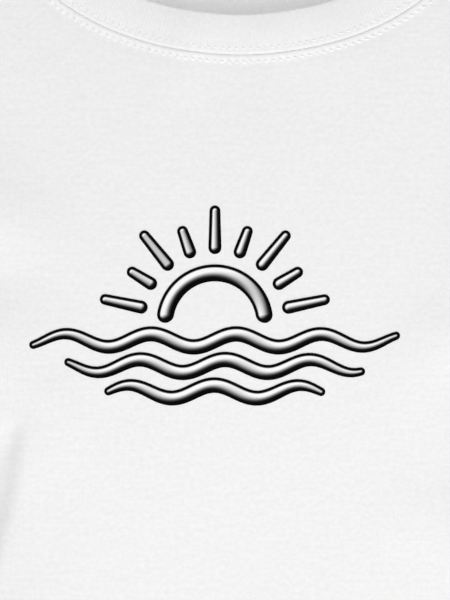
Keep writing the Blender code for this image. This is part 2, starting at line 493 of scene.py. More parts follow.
PAD_FOLDS = 0.6  # of the soft folds' rise, on the pad
GROUND_DROP = 0.002
SMOOTHINGS = 4
LOOSE_RISE = 0.005  # over the folds, up to where the cloth is loose
LOOSE_REACH = 0.02  # and from them
LOOSE_LUMPS = (0.7, 0.6, 0.09)  # how loose it is on average, how uneven, and in what size

# The part of the front that lies flat: its middle and half sizes
FLAT_MIDDLE = 0.075
FLAT_HALF = (0.114, 0.180)

# Soft folds of the upper layer: the points of each crest, its rise and its half width
SOFT_FOLDS = (
    (((-0.174, 0.036), (-0.152, 0.020), (-0.138, -0.006)), 0.0055, 0.010),
    (((-0.136, 0.058), (-0.106, 0.048), (-0.076, 0.038)), 0.0028, 0.018),
    (((-0.172, -0.040), (-0.134, -0.066), (-0.090, -0.094)), 0.0065, 0.010),
    (((-0.168, -0.118), (-0.120, -0.152), (-0.084, -0.194)), 0.0065, 0.012),
    (((0.174, 0.024), (0.148, 0.010), (0.126, -0.012)), 0.0060, 0.011),
    (((0.132, -0.026), (0.100, -0.032), (0.066, -0.040)), 0.0030, 0.018),
    (((0.172, -0.062), (0.130, -0.086), (0.108, -0.124)), 0.0070, 0.012),
    (((0.166, -0.148), (0.112, -0.170), (0.078, -0.212)), 0.0060, 0.010),
    (((-0.142, 0.158), (-0.132, 0.120), (-0.128, 0.080)), 0.0050, 0.010),
    (((0.146, 0.166), (0.130, 0.118), (0.116, 0.082)), 0.0060, 0.012),
    (((0.014, -0.112), (0.030, -0.172), (0.026, -0.228)), 0.0060, 0.012),
    (((0.112, -0.094), (0.050, -0.112), (-0.012, -0.104)), 0.0050, 0.011),
    (((-0.104, -0.132), (-0.050, -0.140), (-0.004, -0.158)), 0.0050, 0.010),
    (((-0.048, -0.138), (-0.036, -0.186), (-0.052, -0.228)), 0.0055, 0.010),
    (((0.156, 0.090), (0.196, 0.094), (0.244, 0.062)), 0.0055, 0.009),
    (((-0.152, 0.098), (-0.204, 0.102), (-0.240, 0.074)), 0.0055, 0.009),
    (((0.160, 0.150), (0.204, 0.128), (0.232, 0.110)), 0.0045, 0.009),
    (((-0.150, 0.156), (-0.182, 0.146), (-0.230, 0.116)), 0.0045, 0.009),
)
CREST_STEP = 0.01
FOLD_FADE = 0.030  # the length over which a fold dies out at each end


def soft_folds(x, y):
    """What the soft folds add to the upper layer's height."""
    points = pairs(x, y)
    height = np.zeros(len(points))
    for crest, rise, wide in SOFT_FOLDS:
        run = evenly(crest, CREST_STEP)
        ends = [np.hypot(*(points - end).T) / FOLD_FADE for end in (run[0], run[-1])]
        fade = np.clip(np.min(ends, axis=0), 0, 1)
        height += rise * fade * np.exp(-((distance_to(points, run) / wide) ** 2))
    return height


def first_drape():
    """Both layers as one open surface, joined along the folds, with the plan as its UV map."""
    patches, places = [], []
    for layer in LAYERS:
        plan, faces = cut(shirt_outline(layer, DRAPE_SPACING), DRAPE_SPACING)
        height = first_height(*plan.T, layer)
        if layer == FRONT:
            height += FIRST_FOLDS * soft_folds(*plan.T)
        patches.append((np.column_stack([plan, height]), facing(faces, layer)))
        places.append(plan + (LAYER_SHIFT * layer, 0))
    drape = object_of("drape", *joined(patches))
    set_uv(drape, np.vstack(places))
    weld(drape, DRAPE_WELD)
    return drape


def pad():
    """An unseen pad under the upper layer, which keeps it up as the air inside does."""
    plan, faces = cut(shirt_outline(FRONT, PAD_SPACING), PAD_SPACING, jitter=0)
    x, y = plan.T
    inner = (fold_distance(x, y) > PAD_MARGIN)[faces].all(axis=1)
    rise, size = PAD_LUMPS
    height = first_height(x, y, FRONT) - PAD_DROP
    height += rise * lumps(x, y, size, seed=3) + PAD_FOLDS * soft_folds(x, y)
    return object_of("pad", np.column_stack([plan, height]), faces[inner])


def collider(piece):
    piece.modifiers.new("collision", "COLLISION")
    set_all(piece.collision, COLLIDER)
    return piece


def weigh(piece, name, weights):
    """A vertex group of those weights; returns its name."""
    group = piece.vertex_groups.new(name=name)
    for index, weight in enumerate(weights):
        if weight > 0:
            group.add([index], float(weight), "REPLACE")
    return name


def looseness(points):
    """1 where the upper layer has cloth to spare, 0 on the flat chest, by the folds and below."""
    x, y, z = points.T
    upper = np.clip((z - FOLD_HEIGHT) / LOOSE_RISE, 0, 1)
    flat = np.exp(-((x / FLAT_HALF[0]) ** 4) - ((y - FLAT_MIDDLE) / FLAT_HALF[1]) ** 4)
    by_fold = np.exp(-((fold_distance(x, y) / LOOSE_REACH) ** 2))
    mean, spread, size = LOOSE_LUMPS
    uneven = np.clip(mean + spread * lumps(x, y, size, seed=11), 0, 1)
    return upper * (1 - flat) * (1 - by_fold) * uneven


def by_edges(points):
    """Whether each point is near the hem, a sleeve's opening or the neck."""
    plan = pairs(np.abs(points[:, 0]), points[:, 1])
    edges = ((0, HEM_Y), HEM_CORNER), OPENING, band_edge(FRONT, DRAPE_SPACING)
    return np.min([distance_to(plan, edge) for edge in edges], axis=0) < HEM_REACH


def evened(values, edges):
    """Values at vertices, each drawn towards its neighbours', some times over."""
    count = np.bincount(edges.ravel(), minlength=len(values))[:, None]
    for _ in range(SMOOTHINGS):
        total = np.zeros_like(values)
        np.add.at(total, edges[:, 0], values[edges[:, 1]])
        np.add.at(total, edges[:, 1], values[edges[:, 0]])
        values = (values + total / count) / 2
    return values


def settle(drape):
    """Lets the cloth settle under its own weight, on the ground and on the pad."""
    points = np.array([vertex.co for vertex in drape.data.vertices])
    away = fold_distance(*points[:, :2].T)
    held = (points[:, 2] < FOLD_HEIGHT / 2) & (away > HELD_REACH)
    bpy.ops.mesh.primitive_plane_add(size=2, location=(0, 0, -GROUND_DROP))
    helpers = [collider(bpy.context.object), collider(pad())]
    cloth = drape.modifiers.new("settle", "CLOTH")
    groups = {
        "vertex_group_bending": weigh(drape, "stiff", by_edges(points)),
        "vertex_group_mass": weigh(drape, "held", held),
        "vertex_group_shrink": weigh(drape, "taut", 1 - looseness(points)),
    }
    set_all(cloth.settings, JERSEY | groups)
    set_all(cloth.collision_settings, {"distance_min": 0.001, "collision_quality": 2})
    cloth.point_cache.frame_end = SETTLE_FRAMES
    for step in range(1, SETTLE_FRAMES + 1):
        bpy.context.scene.frame_set(step)
    settled = bake(drape)
    bpy.context.scene.frame_set(1)
    for helper in helpers:
        bpy.data.objects.remove(helper)
    edges = np.array([edge.vertices for edge in settled.edges])
    moved = evened(read(settled.vertices, "co", 3) - points, edges)
    settled.vertices.foreach_set("co", (points + moved).astype(np.float32).ravel())


def cross(a, b):
    return a[:, 0] * b[:, 1] - a[:, 1] * b[:, 0]


def unit(vectors):
    return vectors / np.linalg.norm(vectors, axis=-1, keepdims=True)


def sideways(vectors, up):
    """Unit vectors the way of these, less what they rise."""
    return unit(vectors - (vectors * up).sum(axis=1)[:, None] * up)


class Drape:
    """The settled surface, looked up by layer and place on the plan."""

    def __init__(self, source):
        set_all(source.modifiers.new("finer", "SUBSURF"), FINER)
        mesh = bake(source)
        self.places = read(mesh.vertices, "co", 3)
        self.normals = read(mesh.vertex_normals, "vector", 3)
        self.flat = read(mesh.uv_layers[0].data, "uv", 2)
        self.corners = np.array([corner.vertex_index for corner in mesh.loops])
        quads = np.arange(len(mesh.loops)).reshape(-1, 4)
        self.triangles = np.vstack([quads[:, [0, 1, 2]], quads[:, [0, 2, 3]]])
        flat = np.column_stack([self.flat, np.zeros(len(self.flat))])
        self.tree = BVHTree.FromPolygons(flat.tolist(), self.triangles.tolist())

    def at(self, plan, layer):
        """Places on the cloth and its outward normals, over points of the plan."""
        sought = np.asarray(plan, float) + (LAYER_SHIFT * layer, 0)
        found = [self.tree.find_nearest((x, y, 0)) for x, y in sought]
        on = np.array([hit[0][:2] for hit in found])
        triangle = self.triangles[[hit[2] for hit in found]]
        a, b, c = (self.flat[triangle[:, corner]] for corner in range(3))
        whole = cross(b - a, c - a)
        at_b = cross(on - a, c - a) / whole
        at_c = cross(b - a, on - a) / whole
        shares = np.stack([1 - at_b - at_c, at_b, at_c], axis=1)[:, :, None]
        vertices = self.corners[triangle]
        places = (self.places[vertices] * shares).sum(axis=1)
        normals = (self.normals[vertices] * shares).sum(axis=1)
        return places, unit(normals)


# Relief of the sewn cloth

CLOTH = 0.0007
LAYER_GAP = 0.0001  # between two layers of cloth
NOSE = CLOTH + LAYER_GAP / 2  # radius of a hem's folded edge
TURN = (pi - 1) * NOSE  # how far the plan goes on past a hem's line, for what turns under
UNDER_RELIEF = 0.3  # of the front's relief, on the back, which the floor presses flat
FURROW = (0.00001, 0.00045)  # a seam's depth and half width
SEAM_SWELL = (0.00022, 0.0010, 0.0060)  # the rise over its allowance, where it peaks and ends
NECK_SWELL = (0.00018, 0.0007, 0.0026)
NECK_SINK = (0.00021, 0.0036)  # how deep its stitches draw the cloth past its swell, and how far
TEETH = 0.0008  # how much further the neck's swell reaches between two needle holes
HEM_SWELL = 0.0003
SWELL_SOFTNESS = 0.0004
STEEPEST = 40  # keeps the soft steps' powers within bounds
STITCH_PITCH = 0.0029
STITCH_SLANT = 0.45
PUFF = (0.00020, 0.0006)  # rise and half width of the cloth between two needle holes
PIT = (0.00008, 0.0005)  # depth and half width at a needle hole
NECK_ROW = 0.0028  # from the neck seam down to the row of stitches on the body
BAND_ROW = 0.0026  # and up to the row on the band
HEM_ROWS = (0.0015, 0.0071)  # from a hem's inner edge
PUCKER = (0.00016, 0.0065, 0.010)  # rise, size and reach of the puckers beside a hem's stitches
PUCKER_STRETCH = 3  # how much longer they are than wide
PUCKER_END = 3  # in reaches, where they have died out
RIDGE = (0.00018, 0.0014, 0.0008)  # rise, place and half width of the band's ridge by the seam
BAND_CROWN = 0.0004
BAND_STITCHING = 0.3  # of the body's stitch relief, since the rib is thicker
RIB = (0.00003, 0.0015)  # depth and pitch of the band's ribs

# The rails of the seams and hems
NECK = [Rail(neck_seam(layer, spacing=0.002)) for layer in LAYERS]
HEM = Rail(line((-HALF_CHEST, HEM_Y), HEM_CORNER, spacing=0.005))
CUFF = Rail(line(*OPENING, spacing=0.005))
BODY_HEM = (HEM, HEM_DEPTH)
SLEEVE_HEM = (CUFF, SLEEVE_HEM_DEPTH)
ARMHOLE = Rail(armhole(spacing=0.003))
SIDE = Rail((HEM_CORNER, ARMPIT))
SHOULDER = Rail((TIP, HIGH_POINT))
UNDERARM = Rail((ARMPIT, OPENING_LOW))
SEAMS = (SIDE, SHOULDER, ARMHOLE)

# The crest beside which the cloth falls away, by the wearer's right ribs
CREST = ((-0.087, 0.018), (-0.087, 0.004), (-0.089, -0.012), (-0.095, -0.034), (-0.102, -0.060))
CREASE = Rail(CREST)
CREASE_FALL = (0.70, 0.019, 0.060)  # the fall's slope at the crest, its greatest width and its end
CREASE_BLUNT = 0.01  # of that width, at the crest's two ends


def bell(away, middle, half):
    return np.exp(-(((away - middle) / half) ** 2))


def soft_step(past):
    """From 1 before nought softly to 0 after it."""
    return 1 / (1 + np.exp(np.clip(past / SWELL_SOFTNESS, -STEEPEST, STEEPEST)))


def between(away, start, end):
    """1 from start to end, falling softly to 0 outside."""
    return soft_step(start - away) * soft_step(away - end)


def between_holes(along, away):
    """0 at a needle hole of a row of stitches, 1 midway to the next."""
    return (1 - np.cos(2 * pi * (along + STITCH_SLANT * away) / STITCH_PITCH)) / 2


def stitched(along, away):
    """Relief about a row of stitches: puffs between the needle holes, pits at them."""
    puffed = between_holes(along, away)
    puff, puff_half = PUFF
    pit, pit_half = PIT
    return puff * bell(away, 0, puff_half) * puffed - pit * bell(away, 0, pit_half) * (1 - puffed) ** 2


def eased(away, start, end):
    """From 0 at start to 1 at end, level at both."""
    return np.sin(pi / 2 * np.clip((away - start) / (end - start), 0, 1)) ** 2


def swell(away, rise, peak, end):
    """A rise from a seam up to its peak, and ever more steeply down to its end."""
    down = np.cos(pi / 2 * np.clip((away - peak) / (end - peak), 0, 1))
    return rise * eased(away, 0, peak) * down


def furrow(away):
    depth, half = FURROW
    return -depth * bell(away, 0, half)


def hem_relief(along, away, depth):
    """A hem's swell, its rows of stitches, and the puckers beside them."""
    rise, size, reach = PUCKER
    height = HEM_SWELL * between(away, -depth, depth)
    for row in HEM_ROWS:
        height += stitched(along, away - depth + row)
    near = np.abs(away - depth) < PUCKER_END * reach
    puckers = lumps(along[near], away[near] / PUCKER_STRETCH, size, seed=5)
    height[near] += rise * puckers * bell(away[near], depth - HEM_ROWS[-1] / 2, reach)
    return height


def crease(plan):
    """How far the cloth falls away beside the crest."""
    along, off = CREASE.nearest(plan)
    slope, widest, end = CREASE_FALL
    foot = widest * (CREASE_BLUNT + np.sin(pi * along / CREASE.length))
    fall = (1 - (1 - np.clip(-off / foot, 0, 1)) ** 2) * (1 - eased(-off, foot, end))
    return -slope * foot / 2 * fall


def body_relief(plan, layer):
    along, away = NECK[layer].nearest(plan)
    rise, peak, end = NECK_SWELL
    end = end + TEETH * between_holes(along, away - NECK_ROW)
    depth, reach = NECK_SINK
    height = swell(away, rise, peak, end) + furrow(away) + stitched(along, away - NECK_ROW)
    height -= depth * eased(away, peak, end) * (1 - eased(away, end, end + reach))
    if layer == FRONT:
        height += crease(plan)
    at_left = pairs(np.abs(plan[:, 0]), plan[:, 1])
    for seam in SEAMS:
        height += furrow(seam.nearest(at_left)[1])
    return height + hem_relief(*HEM.nearest(plan), HEM_DEPTH)


def sleeve_relief(plan, _layer):
    beside = -ARMHOLE.nearest(plan)[1]
    height = swell(beside, *SEAM_SWELL) + furrow(beside) + furrow(UNDERARM.nearest(plan)[1])
    return height + hem_relief(*CUFF.nearest(plan), SLEEVE_HEM_DEPTH)


def band_relief(plan, layer):
    along, off = NECK[layer].nearest(plan)
    away = -off
    rise, place, half = RIDGE
    depth, pitch = RIB
    height = rise * bell(away, place, half) + furrow(away)
    height += BAND_STITCHING * stitched(along, away - BAND_ROW)
    height += BAND_CROWN * np.sin(pi * np.clip(away / BAND_WIDTH, 0, 1))
    return height + depth * np.cos(2 * pi * along / pitch)


class Panel:
    """One layer's outer face: the drape with its relief, turned under past a hem's line.

    Its plan is drawn at +X and mirrored with side = -1.
    """

    def __init__(self, drape, layer, relief, hem=None, side=1):
        self.drape = drape
        self.layer = layer
        self.relief = relief
        self.hem = hem
        self.mirror = (side, 1)

    def turn_under(self, places, normals, plan):
        """Rolls what lies past the hem's line round its folded edge."""
        along, off = self.hem.nearest(plan)
        past = off < NOSE
        if not past.any():
            return
        base = self.hem.at(along[past], NOSE)
        edge = self.hem.at(along[past], 0)
        start, up = self.drape.at(base * self.mirror, self.layer)
        out = sideways(self.drape.at(edge * self.mirror, self.layer)[0] - start, up)
        angle = (1 - off[past] / NOSE)[:, None]
        normals[past] = np.cos(angle) * up + np.sin(angle) * out
        places[past] = start + NOSE * (normals[past] - up)

    def at(self, plan):
        """Places on the outer face and its outward normals, over rows or a grid of points."""
        points = plan.reshape(-1, 2)
        places, normals = self.drape.at(points * self.mirror, self.layer)
        if self.hem:
            self.turn_under(places, normals, points)
        height = self.relief(points, self.layer)
        if self.layer == BACK:
            height = height * UNDER_RELIEF
        shape = (*plan.shape[:-1], 3)
        return (places + normals * height[:, None]).reshape(shape), normals.reshape(shape)


class Lining:
    """The inner face of a panel, that far in."""

    def __init__(self, panel, depth):
        self.panel = panel
        self.depth = depth

    def at(self, plan):
        places, normals = self.panel.at(plan)
        return places - normals * self.depth, -normals


# The cloth pieces; finish holds the materials by name


def belongs(piece, slot, *nodes):
    """Puts a piece on the one body and hides the nodes that it stands for; slot is not used."""
    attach(piece, "root")
    if nodes:
        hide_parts(*nodes)
    return piece


PANEL_SPACING = 0.003
SEWN = 1e-6  # the distance within which a sleeve's two layers are one at their fold
EDGE_STEP = 0.0015
NECK_STEP = 0.0006
HEM_STEP = 0.0010
EDGE_ROWS = (0.0004, 0.0009, 0.0016, 0.0026)  # rows of points, off a seam
NECK_ROWS = (
    0.0003, 0.0006, 0.0010, 0.0015, 0.0019, 0.0023, 0.0026,
    0.0030, 0.0034, 0.0037, 0.0041, 0.0047, 0.0058,
)
INNER_COLUMN = 0.002
INNER_ROWS = 9
NOSE_ROWS = NOSE * (1 - pi * np.linspace(0, 1, 9)[:-1])
HEM_FIELD = (0.0100, 6)  # the depth of a hem's part with the stitches, and the rows up to it
STITCH_SHIFTS = (-0.0011, -0.0005, 0, 0.0005, 0.0011)  # rows of points beside one of stitches
HEM_PAST = (0.0003, 0.0010)  # and beyond a hem's inner edge


def hem_rows(depth):
    """Offsets from a hem's edge: round its nose, across it, and closer about the stitches."""
    field, count = HEM_FIELD
    rows = [*NOSE_ROWS, *np.linspace(NOSE, depth - field, count)[1:]]
    rows += [depth - row + shift for row in reversed(HEM_ROWS) for shift in STITCH_SHIFTS]
    return rows + [depth + past for past in HEM_PAST]


def body_outline(layer):
    low = (HALF_CHEST, HEM_Y - TURN)
    hem = line((-HALF_CHEST, HEM_Y - TURN), low, HEM_STEP)
    left = [line(low, ARMPIT, EDGE_STEP), armhole(EDGE_STEP), line(TIP, HIGH_POINT, EDGE_STEP)]
    return two_sided(hem, left, neck_seam(layer, NECK_STEP))


def body_panel(node, panel, finish):
    borders = [(NECK[panel.layer], NECK_ROWS, NECK_STEP), (HEM, hem_rows(HEM_DEPTH), HEM_STEP)]
    rails = [*SEAMS, *[Rail(mirrored(seam.points)) for seam in SEAMS]]
    borders += [(rail, EDGE_ROWS, EDGE_STEP) for rail in rails]
    plan, faces = cut(body_outline(panel.layer), PANEL_SPACING, borders)
    faces = facing(faces, panel.layer)
    piece = object_of(f"{node}_cloth", panel.at(plan)[0], faces, finish["jersey"])
    set_uv(piece, plan)
    thicken(piece, CLOTH, finish["inside"])
    return belongs(piece, "jersey", node)


def sleeve_outline():
    low, top = CUFF.at(0, -TURN), CUFF.at(CUFF.length, -TURN)
    under = line(ARMPIT, low, EDGE_STEP)
    opening = line(low, top, HEM_STEP)
    upper = line(top, TIP, EDGE_STEP)
    return loop(under, opening, upper, armhole(EDGE_STEP)[::-1])


def along_the_sleeve(plan, layer):
    """The plan turned so that the knit runs along the sleeve, unfolded at its upper edge."""
    x, y = (plan - TIP).T
    along = x * cos(SLEEVE_ANGLE) - y * sin(SLEEVE_ANGLE)
    across = x * sin(SLEEVE_ANGLE) + y * cos(SLEEVE_ANGLE)
    return pairs(across if layer == FRONT else -across, along)


def sleeve(node, front, back, side, finish):
    """One sleeve, upper and lower layer in one piece, joined along its upper fold."""
    borders = [(CUFF, hem_rows(SLEEVE_HEM_DEPTH), HEM_STEP)]
    borders += [(rail, EDGE_ROWS, EDGE_STEP) for rail in (UNDERARM, Rail(ARMHOLE.points[::-1]))]
    plan, faces = cut(sleeve_outline(), PANEL_SPACING, borders)
    upper, lower = front.at(plan)[0], back.at(plan)[0]
    fold = distance_to(plan, (CUFF.at(CUFF.length, -TURN), TIP)) < SEWN
    upper[fold] = lower[fold] = (upper[fold] + lower[fold]) / 2
    faces = facing(faces, FRONT if side > 0 else BACK)
    both = joined([(upper, faces), (lower, faces[:, ::-1])])
    piece = object_of(f"{node}_cloth", *both, finish["jersey"])
    set_uv(piece, np.vstack([along_the_sleeve(plan, layer) for layer in LAYERS]))
    weld(piece, SEWN)
    thicken(piece, CLOTH, finish["inside"])
    return belongs(piece, "jersey", node)


def hem_sections(panel, rail, depth):
    """Sections of a hem's inner layer, from its folded edge to its sewn edge, and flat places."""
    along = evenly_between(0, rail.length, INNER_COLUMN)
    off = np.linspace(NOSE + LAYER_GAP / 2, depth, INNER_ROWS)
    plan = rail.at(*np.moveaxis(grid(along, off), -1, 0))
    at, normals = panel.at(plan)
    near = at - normals * (CLOTH + LAYER_GAP)
    return there_and_back(near, near - normals * CLOTH), there_and_back(plan, plan)


def turned_up(node, panels, hem, finish):
    """A hem's inner layer, all round the opening."""
    sections = [hem_sections(panel, *hem) for panel in panels]
    return belongs(all_round(f"{node}_cloth", *sections, finish["jersey"]), "jersey", node)


# The neckband and the tape

BAND_THICKNESS = 0.0016
BAND_NOSE = BAND_THICKNESS / 2
BAND_STEP = 0.0003
BAND_ROWS = (
    0.0001, 0.0004, 0.0007, 0.0010, 0.0014, 0.0018, 0.0022, 0.0026, 0.0030, 0.0034, 0.0038,
    0.0043, 0.0050, 0.0060, 0.0075, 0.0095, 0.0115, 0.0135, BAND_WIDTH - BAND_NOSE,
)
NOSE_ANGLES = np.linspace(0, pi, 9)[1:-1]
TAPE_THICKNESS = 0.0005
TAPE_EDGE = 0.0006  # from the neck seam, on the inside of the back
TAPE_EDGES = (TAPE_EDGE, TAPE_EDGE + TAPE_WIDTH)
TAPE_COLUMN = 0.001
TAPE_ROWS = 12
TAPE_ROW = 0.0013  # from either edge to its stitches
SELVEDGE = (0.00012, 0.0006)  # rise and half width of the tape's firm edges
TAPE_ENDS = NECK[BACK].length / 2 * (1 + TAPE_REACH * np.array([-1, 1]))
TAPE_RAIL = Rail(NECK[BACK].at(evenly_between(*TAPE_ENDS, TAPE_COLUMN), 0))


def band_sections(panel):
    """Sections of the folded band, outer face, fold and inner face, and their flat places."""
    seam = neck_seam(panel.layer, BAND_STEP)
    depth = (SHOULDER_Y - seam[:, 1]) / NECK_DROP[panel.layer]
    angle = np.arctan2(depth, seam[:, 0] / NECK_HALF_WIDTH)
    rise = SHOULDER_Y + BAND_RISE - BAND_DROP[panel.layer] * np.sin(angle)
    edge = pairs(BAND_HALF_WIDTH * np.cos(angle), rise)
    shares = np.array(BAND_ROWS) / BAND_WIDTH
    plan = mix(seam[:, None], edge[:, None], shares[None, :, None])
    at, normals = panel.at(plan)
    base, up = at[:, -1], normals[:, -1]
    out = sideways(panel.at(edge)[0] - base, up)
    turns = [np.cos(turn) * up + np.sin(turn) * out - up for turn in NOSE_ANGLES]
    nose = base[:, None] + BAND_NOSE * np.stack(turns, axis=1)
    inner = at - normals * BAND_THICKNESS
    across = [*BAND_ROWS, *(BAND_ROWS[-1] + BAND_NOSE * NOSE_ANGLES)]
    across += [2 * BAND_ROWS[-1] + pi * BAND_NOSE - row for row in BAND_ROWS[::-1]]
    flat = grid(np.arange(len(seam)) * BAND_STEP, across)
    return there_and_back(np.hstack([at, nose]), inner), flat


def neckband(node, bands, finish):
    sections = [band_sections(band) for band in bands]
    return belongs(all_round(f"{node}_rib", *sections, finish["rib"]), "rib", node)


def tape(node, back, finish):
    """The tape over the seam at the back of the neck, inside."""
    along = evenly_between(0, TAPE_RAIL.length, TAPE_COLUMN)
    flat = grid(along, np.linspace(*TAPE_EDGES, TAPE_ROWS))
    low, up = Lining(back, CLOTH + LAYER_GAP).at(TAPE_RAIL.at(*np.moveaxis(flat, -1, 0)))
    rise, half = SELVEDGE
    firm = sum(bell(flat[..., 1], edge, half) for edge in TAPE_EDGES)
    high = low + up * (TAPE_THICKNESS + rise * firm)[..., None]
    sections, places = there_and_back(high, low), there_and_back(flat, flat)
    piece = swept(f"{node}_twill", sections, places, finish["tape"], ring=False)
    return belongs(piece, "tape", node)


# Stitches

THREAD = 0.00023  # its radius
STITCH_LENGTH = 0.0020
STITCH_LEAN = -0.0005  # how far a stitch's end lies off its row
STITCH_SINK = 0.9  # in thread radii, of a stitch's ends under the cloth
STITCH_ENDS = 0.5  # of the thread's radius, at them
STATIONS = np.linspace(-1, 1, 7)
AROUND = np.arange(8) * pi / 4


def stitch_sections(panel, rail, off):
    """Thread sections for each stitch along a row: stitches by stations by corners."""
    middles = (np.arange(int(rail.length / STITCH_PITCH)) + 0.5) * STITCH_PITCH
    along = middles[:, None] + STATIONS * STITCH_LENGTH / 2
    at, normals = panel.at(rail.at(along, off + STATIONS * STITCH_LEAN))
    ahead = unit(np.gradient(at, axis=1))
    beside = unit(np.cross(normals, ahead))
    up = np.cross(ahead, beside)
    bulge = 1 - STATIONS[:, None] ** 2
    at = at + up * THREAD * mix(-STITCH_SINK, 0, bulge)
    radius = THREAD * mix(STITCH_ENDS, 1, np.sqrt(bulge))[:, None]
    circle = [np.cos(turn) * beside + np.sin(turn) * up for turn in AROUND]
    return at[:, :, None] + radius * np.stack(circle, axis=2)


def stitches(name, rows, finish):
    """The stitches of some rows, (panel, rail, how far off), each a short solid of thread."""
    sections = np.vstack([stitch_sections(*row) for row in rows])
    count, stations, corners = sections.shape[:3]
    one = swept_faces(stations, corners, ring=False)
    shifts = np.arange(count) * stations * corners
    faces = [tuple(corner + shift for corner in face) for shift in shifts for face in one]
    piece = object_of(name, sections.reshape(-1, 3), faces, finish["thread"])
    face_outwards(piece)
    return belongs(piece, "thread")


# The print: a sun over waves, in rounded strokes

PRINT_CENTRE = (-0.010, 0.0644)
PRINT_LIFT = 0.00014  # of the ink's face over the cloth
PRINT_THICKNESS = 0.00010
STROKE_COLUMNS = np.sin(np.linspace(-1, 1, 17) * pi / 2)  # across a stroke, closer at its edges
STROKE_STEP = 0.0009
END_STEPS = np.array([0, 0.02, 0.08, 0.18, 0.32, 0.5, 0.72, 1])  # of the half width, at an end
SUN_MIDDLE = -0.009  # over the print's centre
SUN_RADIUS = 0.020
SUN_STROKE = 0.0034  # half its width
SUN_POINTS = 90
RAYS = 9
RAY_SPREAD = (radians(12), radians(168))
RAY_START = 0.0275
RAY_ENDS = (0.047, 0.041)  # turn about
RAY_STROKE = (0.0027, 0.0021)  # half widths at its foot and at its tip
RAY_POINTS = 24
WAVES = ((-0.0160, 0.074), (-0.0262, 0.060), (-0.0364, 0.044))  # height and half length
WAVE_SIZE = (0.0026, 0.034)  # rise and wavelength
WAVE_STROKE = 0.0031
WAVE_TIPS = 0.5  # of its width
WAVE_POINTS = 240
WAVE_SHIFT = 0.8  # of the phase, from one wave to the next
GLOSS_LIGHT = np.array([-0.50, 0.60, 0.62])  # where the drawn gloss comes from
GLOSS_EDGE = 0.003  # the greatest distance from a stroke's edge that the gloss knows


def sun_line():
    angle = np.linspace(0, pi, SUN_POINTS)
    points = pairs(np.cos(angle), np.sin(angle)) * SUN_RADIUS + (0, SUN_MIDDLE)
    return points, np.full(len(points), SUN_STROKE)


def ray_lines():
    for number, angle in enumerate(np.linspace(*RAY_SPREAD, RAYS)):
        reach = np.linspace(RAY_START, RAY_ENDS[number % 2], RAY_POINTS)[:, None]
        points = reach * (cos(angle), sin(angle)) + (0, SUN_MIDDLE)
        yield points, np.linspace(*RAY_STROKE, len(points))


def wave_lines():
    rise, length = WAVE_SIZE
    for number, (height, half) in enumerate(WAVES):
        x = np.linspace(-half, half, WAVE_POINTS)
        y = height + rise * np.sin(2 * pi * x / length + number * WAVE_SHIFT)
        yield pairs(x, y), WAVE_STROKE * mix(WAVE_TIPS, 1, 1 - np.abs(x / half) ** 3)


def stroke(points, half_widths):
    """One stroke, round at its ends: plan points in columns across it, and the gloss at each.

    The gloss is how far the drawn bar's face turns to the light, and how near its edge it is.
    """
    rail = Rail(points)
    first, last = END_STEPS * half_widths[0], rail.length - END_STEPS[::-1] * half_widths[-1]
    along = np.concatenate([first, evenly_between(first[-1], last[0], STROKE_STEP)[1:-1], last])
    wide = np.interp(along, rail.along, half_widths)
    past = along - np.clip(along, first[-1], last[0])
    off = np.sqrt(np.maximum(wide**2 - past**2, 0))[:, None] * STROKE_COLUMNS
    left = unit(rail.at(along, 1.0) - rail.at(along, 0.0))[:, None]
    ahead = left[..., ::-1] * (1, -1)
    out = (off[..., None] * left + past[:, None, None] * ahead) / wide[:, None, None]
    height = np.sqrt(np.maximum(1 - (out**2).sum(axis=-1), 0))
    normal = np.concatenate([out, height[..., None]], axis=-1)
    edge = wide[:, None] - np.hypot(off, past[:, None])
    lit = 0.5 + 0.5 * normal @ unit(GLOSS_LIGHT)
    return rail.at(along[:, None], off), pairs(lit, np.clip(edge / GLOSS_EDGE, 0, 1))


def print_piece(name, front, finish):
    patches, gloss = [], []
    for points, half_widths in (sun_line(), *ray_lines(), *wave_lines()):
        plan, shades = stroke(points, half_widths)
        patches.append((plan.reshape(-1, 2), open_faces(*plan.shape[:2])))
        gloss.append(shades.reshape(-1, 2))
    plan, faces = joined(patches)
    plan += PRINT_CENTRE
    at, normals = front.at(plan)
    piece = object_of(name, at + normals * PRINT_LIFT, faces, finish["ink"])
    set_uv(piece, np.vstack(gloss), "gloss")
    set_uv(piece, plan)
    thicken(piece, PRINT_THICKNESS)
    return belongs(piece, "print")


# Materials

WALE = 0.0008  # the jersey's columns of loops, apart
COURSE = 0.0006  # and its rows
FUZZ = 0.0005
FIBRE = FUZZ / 4
FINE_WALE = WALE * 0.7  # the rib's
FINE_COURSE = COURSE * 0.7
TWILL = 0.0008
KNIT_DEPTH = 0.00012
RIB_DEPTH = 0.00010
FIBRE_DEPTH = 0.00003
LOOPS = (0.6, 0.6, 0.5)  # the columns' height between two rows, the loops' weight and the fuzz's
GRAIN = (0.0020, 1.2)  # size of the specks in the cloth's colour, and how much shorter they are along
STREAKS = (0.014, 8)  # and of its faint streaks
STREAK_SHARE = 0.3
MOTTLE_SPREAD = (0.3, 0.7)  # the noise's values that take the darkest and the lightest grey
WAVE_TEXTURE_TURNS = 20 / (2 * pi)  # a wave texture's bands in each unit, at scale 1
# The knits: name, grey, roughness, darkest and lightest grey, pitches, and the bumps' depth and
# strength. The jersey's inner face has its loops in rows. Its greys are painted light: they are
# lighter than the outer face's, to lift the shade inside the neck opening.
KNITS = {
    "jersey": ("white jersey", 0.87, 0.92, (0.835, 0.905), (WALE, COURSE), (KNIT_DEPTH, 0.4)),
    # painted light: the same jersey as outside, made whiter so that the shade seen through the neck is
    # lighter
    "inside": ("white jersey inside with painted light", 0.96, 0.92, (0.94, 0.98), (COURSE, WALE), (KNIT_DEPTH, 0.6)),
    "rib": ("white rib", 0.88, 0.90, (0.85, 0.91), (FINE_WALE, FINE_COURSE), (RIB_DEPTH, 0.5)),
}
